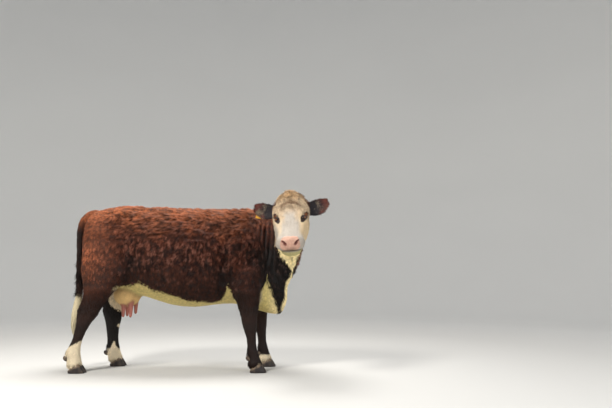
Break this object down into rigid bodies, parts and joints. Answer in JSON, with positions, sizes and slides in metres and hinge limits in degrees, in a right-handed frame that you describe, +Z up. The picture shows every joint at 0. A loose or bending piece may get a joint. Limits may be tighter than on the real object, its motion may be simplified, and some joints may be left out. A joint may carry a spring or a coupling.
{
  "type": "cow",
  "caption": "Life-size standing cow with her head turned to her right, one closed fleshy solid parted into head, neck, trunk and legs, with claws, eyes, udder, tail and an ear tag.",
  "frame": {"origin": "centre of the base of the bounding box, on the ground under the cow", "axes": "+X the way the trunk faces, from tail to breast; +Y the cow's left; +Z up. The head looks along -Y"},
  "size_m": [2.137, 1.1098, 1.4188],
  "materials": {
    "body_coat": "woolly red-brown hair, white below",
    "face_coat": "short cream hair",
    "ear_coat": "short dark hair",
    "tail_coat": "short dark hair",
    "switch_hair": "long pale hair",
    "udder": "bare skin with fine hair",
    "teat": "bare skin",
    "horn": "dull horn",
    "eye": "wet gloss",
    "tag": "satin, plain"
  },
  "bodies": {
    "root": {"ear_left": "ear_coat", "ear_right": "ear_coat", "ear_tag": "tag", "eye_left": "eye", "eye_right": "eye", "fore_left_inner_claw": "horn", "fore_left_inner_dewclaw": "horn", "fore_left_outer_claw": "horn", "fore_left_outer_dewclaw": "horn", "fore_leg_left": "body_coat", "fore_leg_right": "body_coat", "fore_right_inner_claw": "horn", "fore_right_inner_dewclaw": "horn", "fore_right_outer_claw": "horn", "fore_right_outer_dewclaw": "horn", "head": "face_coat", "hind_left_inner_claw": "horn", "hind_left_inner_dewclaw": "horn", "hind_left_outer_claw": "horn", "hind_left_outer_dewclaw": "horn", "hind_leg_left": "body_coat", "hind_leg_right": "body_coat", "hind_right_inner_claw": "horn", "hind_right_inner_dewclaw": "horn", "hind_right_outer_claw": "horn", "hind_right_outer_dewclaw": "horn", "neck": "body_coat", "tail": "tail_coat", "tail_switch": "switch_hair", "teat_fore_left": "teat", "teat_fore_right": "teat", "teat_hind_left": "teat", "teat_hind_right": "teat", "trunk": "body_coat", "udder": "udder"}
  },
  "joints": []
}
